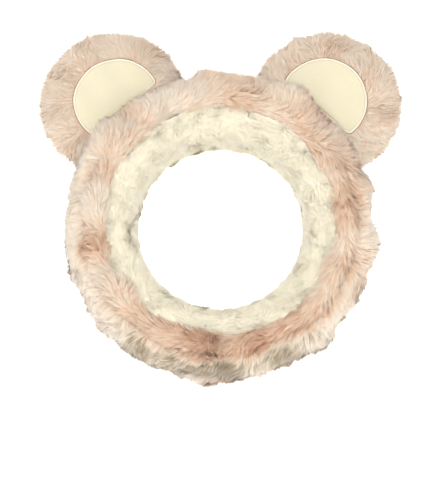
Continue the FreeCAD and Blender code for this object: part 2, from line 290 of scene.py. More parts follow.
def angle_of_section(points):
    """How far round the section a point is from outermost, front and rear alike."""
    across = np.maximum(np.abs(points[:, 1]) - LAND_HALF, 0)
    return np.arctan2(across, np.hypot(points[:, 0], points[:, 2]) - RING_MIDDLE)


def from_closing(around):
    """Angle from the closing seam at the nape, signed."""
    return (around - CLOSING + math.pi) % (2 * math.pi) - math.pi


def lower_front(around, front):
    """1 along the lower three fifths of the ring's front, where the pile parts along a crease."""
    end, fade = math.radians(125), math.radians(25)
    return smooth((end - np.abs(from_closing(around))) / fade) * front


LUMPS = Waves(11, 34 * MM)
SMALL_LUMPS = Waves(12, 13 * MM)
FLEECE_LUMPS = Waves(16, 10 * MM)


def puffed_ring():
    """The whole padded ring, swollen between its edge seams."""
    rings, steps = 200, 44
    room_to_swell, unevenness = 7.0 * MM, 0.8 * MM
    seam_half = math.radians(9)
    around, turn = ring_grid(np.linspace(-math.pi, math.pi, steps, endpoint=False), rings)
    flat = ring_points(around, turn, SECTION_RADIUS)
    vertices = ring_points(around, turn, SECTION_RADIUS - room_to_swell + unevenness * LUMPS(flat))

    def is_pinned(points):
        return np.abs(angle_of_section(points) - SEAM_TURN) < seam_half

    faces = grid_faces(rings, steps, wrap_columns=True)
    return puffed(vertices, faces, voxel=5 * MM, pressure=4.0, cap=3.0 * MM, is_pinned=is_pinned)


RING_FORM = puffed_ring()
SKIN_RINGS = 360
RAY_DEPTH = 5.0 * MM      # the surface that rays are cast about lies this far inside the section
RAY_REACH = 9 * MM
MOST_SWELLING = 2.5 * MM


def evened(grid, passes):
    """A ring's grid of values with its sharp steps taken out, round the ring and across it."""
    for _ in range(passes):
        grid = (np.roll(grid, 1, axis=0) + 2 * grid + np.roll(grid, -1, axis=0)) / 4
        wider = np.pad(grid, ((0, 0), (1, 1)), mode="edge")
        grid = (wider[:, :-2] + 2 * grid + wider[:, 2:]) / 4
    return grid


def ring_skin(name, turns, radius_of, sag, passes):
    """A skin of the ring, laid on its padded form. radius_of gives the section's radius.

    sag is how far the form may let the skin sink. passes is how many times its rise and fall are
    then evened out.
    """
    around, turn = ring_grid(turns, SKIN_RINGS)
    flat = ring_points(around, turn, SECTION_RADIUS)
    vertices = ring_points(around, turn, radius_of(around, turn, flat))
    normals = unit(flat - ring_points(around, turn, 0))
    base = ring_points(around, turn, SECTION_RADIUS - RAY_DEPTH)
    swelling = np.clip(laid_on(RING_FORM, base, normals, RAY_REACH), -sag, MOST_SWELLING)
    swelling = evened(swelling.reshape(SKIN_RINGS, len(turns)), passes).ravel()
    return new_object(name, vertices + normals * swelling[:, None], grid_faces(SKIN_RINGS, len(turns)))


def cover_radius(around, turn, flat):
    edge_fade, gather_width = 0.4, 0.06
    crease_width, crease_to_roll, roll_width = 0.13, 0.42, 0.3
    fullness = np.clip(np.cos(turn), 0, 1) ** 2
    edge = smooth((np.abs(turn) - (SEAM_TURN - edge_fade)) / edge_fade)
    gather = np.exp(-(from_closing(around) / gather_width) ** 2)
    on_front = lower_front(around, turn > 0)
    crease = np.exp(-((turn - CREASE_TURN) / crease_width) ** 2) * on_front
    roll = np.exp(-((turn - CREASE_TURN - crease_to_roll) / roll_width) ** 2) * on_front
    return (
        COVER_SKIN
        + 1.8 * MM * fullness
        + 1.0 * MM * LUMPS(flat)
        + 0.4 * MM * SMALL_LUMPS(flat)
        - 1.6 * MM * edge
        - 0.4 * MM * gather
        - 2.6 * MM * crease
        + 1.2 * MM * roll
    )


def lining_radius(around, turn, flat):
    edge_fade, gather_width = 0.6, 0.05
    edge = smooth((np.abs(turn - math.pi) - (math.pi - SEAM_TURN - edge_fade)) / edge_fade)
    gather = np.exp(-(from_closing(around) / gather_width) ** 2)
    return LINING_SKIN + 0.45 * MM * FLEECE_LUMPS(flat) - 4.3 * MM * edge - 0.3 * MM * gather


# ---------------------------------------------------------------- pile

TONE_COLUMNS, TONE_ROWS = 32, 16
TONE_CELLS = TONE_COLUMNS * TONE_ROWS
CELL_EDGES = (0.1, 0.9)    # where a ribbon's two edges lie across its cell of the map
CELL_START, CELL_SPAN = 0.04, 0.92    # where it starts up the cell, and how far it runs
UV_LAYOUT = "OFBake"    # the exporter keeps a map of this name, so every strand keeps its own shade
LEVELS = (0.0, 0.3, 0.65, 1.0)


def strands_object(name, points, normals, tone):
    """One mesh of many ribbons, with each strand's tone and each point's place along it."""
    count, per_strand = points.shape[:2]
    rings = len(LEVELS) - 1
    mesh = bpy.data.meshes.new(name)
    mesh.vertices.add(count * per_strand)
    mesh.vertices.foreach_set("co", points.ravel())
    quads = [(2 * k, 2 * k + 1, 2 * k + 3, 2 * k + 2) for k in range(rings - 1)]
    tip = (2 * rings - 2, 2 * rings - 1, 2 * rings)
    corner_pattern = np.array([corner for quad in quads for corner in quad] + list(tip))
    starts = np.arange(count)[:, None] * per_strand
    loops = (starts + corner_pattern).ravel()
    mesh.loops.add(len(loops))
    mesh.loops.foreach_set("vertex_index", loops.astype(np.int32))
    per_faces = [4] * len(quads) + [3]
    loop_starts = np.concatenate([[0], np.cumsum(per_faces)[:-1]])
    face_starts = (np.arange(count)[:, None] * len(corner_pattern) + loop_starts).ravel()
    mesh.polygons.add(len(face_starts))
    mesh.polygons.foreach_set("loop_start", face_starts.astype(np.int32))
    mesh.update(calc_edges=True)
    mesh.shade_smooth()
    mesh.normals_split_custom_set_from_vertices(np.repeat(normals, per_strand, axis=0).tolist())

    places = np.repeat(np.array(LEVELS), 2)[:per_strand]
    place_data = mesh.attributes.new("place", "FLOAT", "POINT")
    place_data.data.foreach_set("value", np.tile(places, count).astype(np.float32))
    cell = np.minimum((tone * TONE_CELLS).astype(int), TONE_CELLS - 1)
    tone = (cell + 0.5) / TONE_CELLS
    tone_data = mesh.attributes.new("tone", "FLOAT", "POINT")
    tone_data.data.foreach_set("value", np.repeat(tone, per_strand).astype(np.float32))

    sides = np.tile(CELL_EDGES, rings + 1)[:per_strand]
    sides[-1] = 0.5
    column = (cell % TONE_COLUMNS)[:, None]
    row = (cell // TONE_COLUMNS)[:, None]
    layout = mesh.uv_layers.new(name=UV_LAYOUT)
    across = (column + sides[corner_pattern]) / TONE_COLUMNS
    upward = (row + CELL_START + CELL_SPAN * places[corner_pattern]) / TONE_ROWS
    layout.data.foreach_set("uv", np.stack([across, upward], axis=-1).ravel())
    return linked(name, mesh)


def scatter(mesh, per_square_mm, rng, keep):
    """Random points of a mesh, with their normals; keep gives the share of points that stay."""
    vertices, normals, triangles = positions(mesh), vertex_normals(mesh), triangles_of(mesh)
    corners = vertices[triangles]
    sides = corners[:, 1:] - corners[:, :1]
    areas = np.linalg.norm(np.cross(sides[:, 0], sides[:, 1]), axis=1) / 2
    count = int(areas.sum() * per_square_mm / MM ** 2)
    pick = rng.choice(len(areas), count, p=areas / areas.sum())
    mix = np.sqrt(rng.random(count))
    side = rng.random(count)
    weights = np.stack([1 - mix, mix * (1 - side), mix * side], axis=1)
    roots = np.einsum("nk,nkd->nd", weights, corners[pick])
    up = unit(np.einsum("nk,nkd->nd", weights, normals[triangles[pick]]))
    if keep is not None:
        held = rng.random(count) < keep(roots)
        roots, up = roots[held], up[held]
    return roots, up


# The least and the most that a tuft or strand has, as shares of the usual.
TUFT_LENGTHS = (0.85, 1.12)
STRAND_LENGTHS = (0.7, 1.1)
STRAND_WIDTHS = (0.7, 1.3)
DROOP = 0.35              # share of its rise that a strand has lost by its tip
SWEEP_POWER = 1.35        # a strand's lean grows as this power of the way along it
PULL_POWER = 1.1          # and so does a tuft's pull on its strands
TAPER, TAPER_POWER = 0.55, 1.5
NORMAL_SPREAD = 0.12
TONE_MIDDLE, TONE_GAIN = 0.45, 0.16


def grow_pile(name, skin, style, seed, comb, length, keep=None, shade=None, clump=None, split=None):
    """Strands of pile on a skin, as thin tapered ribbons, in tufts that lean the way comb says.

    comb takes root points and normals; the other functions take root points. keep thins the pile
    out, from 1 to 0. shade is added to each strand's own shade. clump, about 1, is how strongly
    the strands of a tuft draw together. split numbers the piece that each strand goes to.
    """
    rng = np.random.default_rng(seed)
    tuft_roots, tuft_up = scatter(skin.data, style["tufts"], rng, keep)
    roots, up = scatter(skin.data, style["strands"], rng, keep)
    tree = KDTree(len(tuft_roots))
    for index, point in enumerate(tuft_roots):
        tree.insert(point, index)
    tree.balance()
    tuft = np.array([tree.find(point)[1] for point in roots])

    def directions(points, normal, spread):
        lean = comb(points, normal)
        lean = lean - normal * (lean * normal).sum(axis=1)[:, None]
        return lean + rng.normal(size=points.shape) * spread

    tuft_count, strand_count = len(tuft_roots), len(roots)
    tuft_lean = directions(tuft_roots, tuft_up, style["tuft_spread"])
    tuft_length = length(tuft_roots) * rng.uniform(*TUFT_LENGTHS, tuft_count)
    tuft_shade = rng.normal(0, 1, tuft_count)
    own_lean = directions(roots, up, style["strand_spread"])
    own_length = length(roots) * rng.uniform(*STRAND_LENGTHS, strand_count)
    gather = style["gather"] * (np.ones(strand_count) if clump is None else clump(roots))

    def along(root, normal, lean, reach, share):
        rise = normal * (share * (1 - DROOP * share))
        sweep = lean * share ** SWEEP_POWER
        return root + (rise + sweep) * reach[:, None] / np.sqrt(1 + (lean ** 2).sum(axis=1))[:, None]

    centres = []
    for share in LEVELS:
        own = along(roots, up, own_lean, own_length, share)
        led = along(tuft_roots[tuft], tuft_up[tuft], tuft_lean[tuft], tuft_length[tuft], share)
        pull = (gather * share ** PULL_POWER)[:, None]
        centres.append(own * (1 - pull) + led * pull)
    centres = np.stack(centres, axis=1)

    heading = unit(centres[:, -1] - centres[:, 0])
    across = unit(np.cross(heading, up) + rng.normal(size=up.shape) * style["twist"])
    across = unit(across - heading * (across * heading).sum(axis=1)[:, None])
    facing = (np.cross(across, heading) * up).sum(axis=1)
    across = across * np.where(facing < 0, -1.0, 1.0)[:, None]
    width = style["width"] * rng.uniform(*STRAND_WIDTHS, strand_count)
    points = np.empty((strand_count, len(LEVELS) * 2 - 1, 3))
    for index, share in enumerate(LEVELS[:-1]):
        half = (width * (1 - TAPER * share ** TAPER_POWER) / 2)[:, None]
        points[:, index * 2] = centres[:, index] - across * half
        points[:, index * 2 + 1] = centres[:, index] + across * half
    points[:, -1] = centres[:, -1]
    normals = unit(up + style["bend"] * heading + rng.normal(size=up.shape) * NORMAL_SPREAD)

    tone = tuft_shade[tuft] * style["tuft_tone"] + rng.normal(0, style["strand_tone"], strand_count)
    if shade is not None:
        tone = tone + shade(roots)
    tone = np.clip(tone * TONE_GAIN + TONE_MIDDLE, 0.01, 0.99)
    labels = np.zeros(strand_count, int) if split is None else split(roots)
    names = [name] if split is None else [f"{name}_{label + 1}" for label in range(labels.max() + 1)]
    return [
        strands_object(part, points[labels == label], normals[labels == label], tone[labels == label])
        for label, part in enumerate(names)
    ]


PLUSH = {
    "strands": 3.8, "tufts": 0.34, "tuft_spread": 0.26, "strand_spread": 0.22, "gather": 0.42,
    "width": 0.32 * MM, "twist": 0.35, "bend": 0.5, "tuft_tone": 0.45, "strand_tone": 0.4,
}
EAR_PLUSH = dict(PLUSH, tuft_spread=0.38, strand_spread=0.36, gather=0.34)
FLEECE = {
    "strands": 4.4, "tufts": 0.45, "tuft_spread": 0.3, "strand_spread": 0.35, "gather": 0.25,
    "width": 0.36 * MM, "twist": 0.3, "bend": 0.2, "tuft_tone": 0.4, "strand_tone": 0.4,
}


# ---------------------------------------------------------------- threads and stitches

def tube_arrays(points, radii, ups, sides=6):
    """Vertices and faces of a tube along points, closed at both ends."""
    points = np.asarray(points, float)
    heading = unit(np.gradient(points, axis=0))
    across = unit(np.cross(heading, ups))
    lift = np.cross(across, heading)
    turns = np.linspace(0, 2 * math.pi, sides, endpoint=False)
    ring = (
        across[:, None, :] * np.cos(turns)[None, :, None]
        + lift[:, None, :] * np.sin(turns)[None, :, None]
    )
    vertices = (points[:, None, :] + ring * np.asarray(radii)[:, None, None]).reshape(-1, 3)
    faces = []
    for step in range(len(points) - 1):
        for side in range(sides):
            following = (side + 1) % sides
            faces.append((
                step * sides + side,
                step * sides + following,
                (step + 1) * sides + following,
                (step + 1) * sides + side,
            ))
    faces.append(tuple(reversed(range(sides))))
    faces.append(tuple(range((len(points) - 1) * sides, len(points) * sides)))
    return vertices, faces


def stitch_row(line, ups, pitch, share, radius, arch, slant=0.0):
    """Separate stitches along a line: each is a small arch that dips into the cloth at its ends."""
    line, ups = np.asarray(line, float), unit(np.asarray(ups, float))
    lengths = np.concatenate([[0], np.cumsum(np.linalg.norm(np.diff(line, axis=0), axis=1))])
    count = max(int(lengths[-1] / pitch), 1)
    step = lengths[-1] / count
    sides = unit(np.cross(np.gradient(line, axis=0), ups))
    shares = np.linspace(0, 1, 6)
    profile = np.array([0.55, 0.95, 1, 1, 0.95, 0.55])

    def read(values, at):
        return np.stack([np.interp(at, lengths, values[:, axis]) for axis in range(3)], axis=1)

    arches = []
    for index in range(count):
        at = (index + 0.5 * (1 - share) + share * shares) * step
        up = unit(read(ups, at))
        rise = arch * np.sin(shares * math.pi) - 0.35 * radius
        aside = unit(read(sides, at)) * (slant * (shares - 0.5))[:, None]
        points = read(line, at) + up * rise[:, None] + aside
        arches.append(tube_arrays(points, radius * profile, up))
    return arches


# ---------------------------------------------------------------- materials

def new_material(name):
    material = bpy.data.materials.new(name)
    material.use_nodes = True
    nodes = material.node_tree.nodes
    return material, nodes, material.node_tree.links, nodes["Principled BSDF"]


def set_inputs(node, values):
    for name, value in values.items():
        node.inputs[name].default_value = value


def linear(red, green, blue):
    """A colour given in sRGB, 0 to 255, as Blender's linear numbers."""
    values = []
    for channel in (red, green, blue):
        share = channel / 255
        values.append(share / 12.92 if share <= 0.04045 else ((share + 0.055) / 1.055) ** 2.4)
    return tuple(values)


def ramp(nodes, stops):
    """A colour ramp through (place, colour) stops."""
    node = nodes.new("ShaderNodeValToRGB")
    while len(node.color_ramp.elements) < len(stops):
        node.color_ramp.elements.new(0.5)
    for element, (place, colour) in zip(node.color_ramp.elements, stops):
        element.position = place
        element.color = (*colour, 1)
    return node


def pile_material(name, tones, root, root_share, sheen):
    """Pile: a ramp over each strand's own tone, darker and warmer towards the root: partly the fibres' own
    colour, partly painted shade deep in the pile.
    """
    material, nodes, links, shader = new_material(name)
    tone = nodes.new("ShaderNodeAttribute")
    tone.attribute_name = "tone"
    colours = ramp(nodes, tones)
    links.new(tone.outputs["Fac"], colours.inputs[0])
    place = nodes.new("ShaderNodeAttribute")
    place.attribute_name = "place"
    # painted shade deep in the pile, with the fibres' own deeper colour at the root
    depth = ramp(nodes, ((0.0, root), (root_share, (1, 1, 1))))
    links.new(place.outputs["Fac"], depth.inputs[0])
    mix = nodes.new("ShaderNodeMix")
    mix.data_type = "RGBA"
    mix.blend_type = "MULTIPLY"
    mix.inputs[0].default_value = 1
    links.new(colours.outputs[0], mix.inputs[6])
    links.new(depth.outputs[0], mix.inputs[7])
    links.new(mix.outputs[2], shader.inputs["Base Color"])
    set_inputs(shader, {
        "Roughness": 0.85, "Sheen Weight": sheen, "Sheen Roughness": 0.5, "Specular IOR Level": 0.2,
    })
    return material


def mottled_material(name, light, dark, scale, bump_depth, detail=4):
    """Cloth, foam or fibre: a fine mottle of two colours with a bump of the same grain."""
    material, nodes, links, shader = new_material(name)
    place = nodes.new("ShaderNodeTexCoord")
    noise = nodes.new("ShaderNodeTexNoise")
    set_inputs(noise, {"Scale": scale, "Detail": detail})
    links.new(place.outputs["Object"], noise.inputs["Vector"])
    colours = ramp(nodes, ((0.3, dark), (0.7, light)))
    links.new(noise.outputs["Fac"], colours.inputs[0])
    links.new(colours.outputs[0], shader.inputs["Base Color"])
    bump = nodes.new("ShaderNodeBump")
    set_inputs(bump, {"Strength": 0.5, "Distance": bump_depth})
    links.new(noise.outputs["Fac"], bump.inputs["Height"])
    links.new(bump.outputs[0], shader.inputs["Normal"])
    set_inputs(shader, {"Roughness": 0.9})
    return material


# The grey and dark tan tones at 0.80 and 0.98 carry the painted shade of the rim under the crease; the dark
# pink at 0.02 also carries the painted shade of the roll and the right side.
PLUSH_PILE = pile_material(
    "plush_pile",
    (
        (0.02, linear(198, 152, 122)),
        (0.25, linear(230, 198, 170)),
        (0.48, linear(236, 219, 198)),
        (0.66, linear(241, 229, 212)),
        (0.80, linear(216, 202, 178)),
        (0.98, linear(158, 140, 114)),
    ),
    root=(1.0, 0.87, 0.77),
    root_share=0.5,
    sheen=0.3,
)
# The darker yellow tone at 0.05 carries the painted shade deep inside the ring.
FLEECE_PILE = pile_material(
    "fleece_pile",
    (
        (0.05, linear(222, 212, 164)),
        (0.38, linear(241, 233, 210)),
        (0.95, linear(251, 246, 232)),
    ),
    root=(1.0, 0.98, 0.92),
    root_share=0.5,
    sheen=0.5,
)
PLUSH_BACKING = mottled_material(
    "plush_backing", linear(244, 210, 188), linear(232, 192, 166), 900, 0.4 * MM
)
FLEECE_BACKING = mottled_material(
    "fleece_backing", linear(253, 249, 236), linear(248, 242, 224), 900, 0.4 * MM
)
VELOUR = mottled_material("velour", linear(203, 195, 168), linear(199, 191, 164), 1500, 0.12 * MM)
# Dark thread for the stitches round the panel, darkened to paint the shadow line between the panel and the
# pile.
PANEL_THREAD_AND_SHADOW = mottled_material("panel_thread_and_shadow", linear(128, 112, 96), linear(96, 82, 68), 2200, 0.1 * MM)
BINDING = mottled_material("binding_thread", linear(240, 234, 220), linear(206, 196, 180), 2200, 0.1 * MM)
SEAM_THREAD = mottled_material("seam_thread", linear(214, 184, 164), linear(176, 142, 120), 2200, 0.1 * MM)
FOAM = mottled_material("foam", linear(246, 242, 230), linear(214, 208, 190), 700, 0.6 * MM, detail=2)
ELASTIC = mottled_material("elastic_weave", linear(248, 247, 243), linear(222, 220, 212), 1800, 0.2 * MM)
FIBRE = mottled_material(
    "fibre_filling", linear(252, 252, 250), linear(226, 226, 222), 260, 1.2 * MM, detail=8
)


def on_ring(piece, material, hidden=()):
    """Give a piece of the ring its material, and hide the model's parts that it replaces."""
    piece.data.materials.append(material)
    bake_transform(piece)
    if hidden:
        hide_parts(*hidden)


def on_body(piece, material, body, hidden):
    """Give a piece its material; it rides on one body."""
    piece.data.materials.append(material)
    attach(piece, body)
    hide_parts(hidden)


# ---------------------------------------------------------------- the ring

SWIRL = Waves(13, 60 * MM)
FINE_SWIRL = Waves(14, 22 * MM)
PATCHES = Waves(15, 34 * MM)
SEAM_SWEEP = math.radians(98)    # how far the pile's lean turns round from outward, by the edge seam
WHORL = ring_points(np.array([CLOSING]), np.array([math.radians(78)]), SECTION_RADIUS)


def by_ear(points):
    """For each point of the ring: 1 beside or under an ear's foot, fading to 0 away from it."""
    away = np.abs(np.abs(angle_around(points)) - EAR_LEAN)
    on_top = smooth((math.radians(75) - angle_of_section(points)) / math.radians(40))
    return smooth((math.radians(28) - away) / math.radians(7)) * on_top


def in_crease_band(points):
    """1 on the outer rim below the crease, along the lower front."""
    below = smooth((CREASE_TURN - 0.05 - angle_of_section(points)) / 0.15)
    return below * lower_front(angle_around(points), points[:, 1] < 0)


def near_whorl(points):
    return np.exp(-(np.linalg.norm(points - WHORL, axis=1) / (12 * MM)) ** 2)


def cover_comb(points, normals):
    out, round_ring = ring_frame(points)
    up_section = unit(out - normals * (out * normals).sum(axis=1)[:, None] + 0.25 * out)
    towards_seam = smooth((angle_of_section(points) - math.radians(50)) / math.radians(55))
    wander = (0.6 * SWIRL(points) + 0.4 * FINE_SWIRL(points)) * (1 - 0.5 * towards_seam)
    angle = wander + SEAM_SWEEP * towards_seam
    lean = turned(up_section, round_ring, angle)
    lean = lean * (1.5 + 0.2 * PATCHES(points))[:, None]
    side = np.where(points[:, 1] < 0, -1.0, 1.0)[:, None]
    beside_ear = by_ear(points)[:, None]
    aside = 0.35 * Y_AXIS * side + 1.4 * out + 0.3 * round_ring * np.sin(angle)[:, None]
    lean = lean * (1 - beside_ear) + aside * beside_ear
    whorl = near_whorl(points)[:, None]
    return lean * (1 - whorl) + unit(WHORL - points) * 0.7 * whorl


def cover_length(points):
    rim = in_crease_band(points)
    towards_seam = smooth((angle_of_section(points) - math.radians(75)) / math.radians(30))
    return 11.5 * MM * (1 - 0.15 * by_ear(points)) * (1 - 0.2 * rim) * (1 - 0.3 * towards_seam)


def cover_keep(points):
    """No pile grows in the strip of cover that an ear is sewn down on."""
    half_depth, most_turn = 5 * MM, 0.4
    away = np.abs(np.abs(angle_around(points)) - EAR_LEAN)
    on_top = (np.abs(points[:, 1]) < half_depth) & (angle_of_section(points) < most_turn)
    under_ear = (away < EAR_FOOT_HALF) & on_top
    return 1 - under_ear.astype(float)


# Each strand's shade on the cover: random patches, plus painted shade on the lower front and on the right
# side.
def cover_tone_and_painted_shade(points):
    bottom = smooth((math.radians(64) - np.abs(from_closing(angle_around(points)))) / math.radians(46))
    rim = in_crease_band(points)
    roll = bottom * (1 - rim) * (points[:, 1] < 0)
    # painted shade: the right side of the ring darker, away from the key lamp
    right = 0.7 * smooth(points[:, 0] / (90 * MM))
    # painted shade: the rim under the crease greyer and darker, most at the bottom, and the roll above it
    # darker at the bottom; the tuft at the whorl is a little darker too
    lower_front_painted_shade = (1.3 + 1.5 * bottom) * rim - 1.2 * roll - 0.6 * near_whorl(points)
    return 0.5 * PATCHES(points) + lower_front_painted_shade - right


def cover_clump(points):
    return np.clip(1 + 0.45 * FINE_SWIRL(points * 1.3) - 0.35 * PATCHES(points), 0.2, 1.6)


def lining_comb(points, normals):
    round_ring = ring_frame(points)[1]
    angle = 0.9 * FINE_SWIRL(points) + 0.5 * SWIRL(points)
    return turned(Y_AXIS, round_ring, angle) * 1.9


def lining_painted_shade(points):
    """Painted shade: the fleece is darker and yellower towards the back, deep inside the ring, most of all at
    the top and the left.
    """
    to_top = unit(points * [1, 0, 1]) @ np.array([-0.5, 0, 0.87])
    return -2.0 * smooth((points[:, 1] + 10 * MM) / (24 * MM)) * smooth((to_top + 0.5) / 1.2)


def sectors(count):
    """Splits the ring into equal sectors, numbered round from the closing seam."""
    return lambda points: np.minimum(
        ((angle_around(points) + math.pi) / (2 * math.pi) * count).astype(int), count - 1
    )


def make_cover():
    turns = np.linspace(-SEAM_TURN, SEAM_TURN, 48)
    skin = ring_skin("plush_cover", turns, cover_radius, sag=2.5 * MM, passes=1)
    pile = grow_pile(
        "plush_cover_pile", skin, PLUSH, 101, cover_comb, cover_length,
        keep=cover_keep, shade=cover_tone_and_painted_shade, clump=cover_clump, split=sectors(7),
    )
    hidden = ("crown_plush_cover", "nape_plush_cover_left", "nape_plush_cover_right")
    on_ring(skin, PLUSH_BACKING, hidden)
    for part in pile:
        on_ring(part, PLUSH_PILE)


def make_lining():
    turns = np.linspace(SEAM_TURN, 2 * math.pi - SEAM_TURN, 36)
    skin = ring_skin("fleece_lining", turns, lining_radius, sag=1.0 * MM, passes=4)
    pile = grow_pile(
        "fleece_lining_pile", skin, FLEECE, 102, lining_comb,
        lambda points: np.full(len(points), 6.0 * MM), shade=lining_painted_shade, split=sectors(4),
    )
    hidden = ("crown_fleece_lining", "nape_fleece_lining_left", "nape_fleece_lining_right")
    on_ring(skin, FLEECE_BACKING, hidden)
    for part in pile:
        on_ring(part, FLEECE_PILE)


def make_core():
    """The foam core: a soft slot-shaped ring with a slightly uneven, cut surface."""
    rings, steps = 240, 32
    grain = Waves(31, 5 * MM)
    around, turn = ring_grid(np.linspace(0, 2 * math.pi, steps, endpoint=False), rings)
    flat = ring_points(around, turn, SECTION_RADIUS)
    vertices = ring_points(around, turn, FOAM_RADIUS - 1.5 * MM + 0.25 * MM * grain(flat))
    core = new_object("foam_core", vertices, grid_faces(rings, steps, wrap_columns=True))
    on_ring(core, FOAM, ("crown_foam_core", "nape_foam_core"))


def make_elastic():
    """A woven elastic tape: cords run round the ring, so its faces are ribbed."""
    cords, per_cord, rings = 10, 4, 240
    thickness = 1.1 * MM
    share = np.linspace(-1, 1, cords * per_cord + 1)
    rib = 0.22 * MM * np.abs(np.sin((share + 1) / 2 * cords * math.pi))
    outer = np.stack([np.full(len(share), 0.5 * thickness) + rib, share * ELASTIC_HALF], axis=1)
    inner = np.stack([-0.5 * thickness - rib[::-1], share[::-1] * ELASTIC_HALF], axis=1)
    loop = np.concatenate([outer, inner])
    middle = ELASTIC_RADIUS - 0.75 * MM
    around = np.linspace(0, 2 * math.pi, rings, endpoint=False)
    reach = middle + loop[:, 0]
    vertices = np.stack([
        np.sin(around)[:, None] * reach,
        np.tile(loop[:, 1], (rings, 1)),
        np.cos(around)[:, None] * reach,
    ], axis=-1).reshape(-1, 3)
    tape = new_object("elastic_tape", vertices, grid_faces(rings, len(loop), wrap_columns=True))
    on_ring(tape, ELASTIC, ("crown_elastic", "nape_elastic"))


def make_edge_seams():
    for name, side in (("front", 1), ("rear", -1)):
        around = np.linspace(0, 2 * math.pi, 721)
        turn = np.full(len(around), side * SEAM_TURN)
        line = ring_points(around, turn, SECTION_RADIUS - 6.4 * MM)
        outward = unit(line - ring_points(around, turn, 0))
        stitches = joined(
            f"{name}_seam_stitches",
            stitch_row(line, outward, pitch=4.2 * MM, share=0.72, radius=0.42 * MM, arch=0.7 * MM),
        )
        on_ring(stitches, SEAM_THREAD, (f"crown_{name}_seam_thread", f"nape_{name}_seam_thread"))


def make_closing_seam():
    turn = np.linspace(-math.pi, math.pi, 361)
    around = np.full(len(turn), CLOSING)
    line = ring_points(around, turn, SECTION_RADIUS - 7.6 * MM)
    outward = unit(line - ring_points(around, turn, 0))
    row = stitch_row(
        line, outward, pitch=3.6 * MM, share=0.7, radius=0.42 * MM, arch=0.6 * MM, slant=1.6 * MM
    )
    stitches = joined("closing_seam_stitches", row)
    on_ring(stitches, SEAM_THREAD, ("nape_closing_seam_thread",))


# ---------------------------------------------------------------- the ears

def ear_edge(bearing):
    """Distance from the ear's middle to its outline, by bearing from straight up."""
    base = RING_OUTSIDE - 3.0 * MM
    rise = np.cos(bearing) * EAR_MIDDLE
    inside = base ** 2 - EAR_MIDDLE ** 2 + rise ** 2
    meets = (inside > 0) & (rise < 0)
    to_base = np.where(meets, -rise - np.sqrt(np.maximum(inside, 0)), 1.0)
    power = 7
    return (EAR_SKIN ** -power + np.maximum(to_base, MM) ** -power) ** (-1 / power)


def ear_share(u, v):
    """How far out a point of an ear's face is, from 0 at the middle to 1 on its outline."""
    across, up = u, v - EAR_MIDDLE
    return np.hypot(across, up) / ear_edge(np.arctan2(across, up))


def panel_edge(bearing):
    """Distance from the panel's middle to its D-shaped outline, by bearing from straight up."""
    down = -np.cos(bearing)
    to_chord = np.where(down > 0.02, (PANEL_MIDDLE - PANEL_CHORD) / np.maximum(down, 0.02), 1.0)
    power = 12
    return (PANEL_RADIUS ** -power + to_chord ** -power) ** (-1 / power)


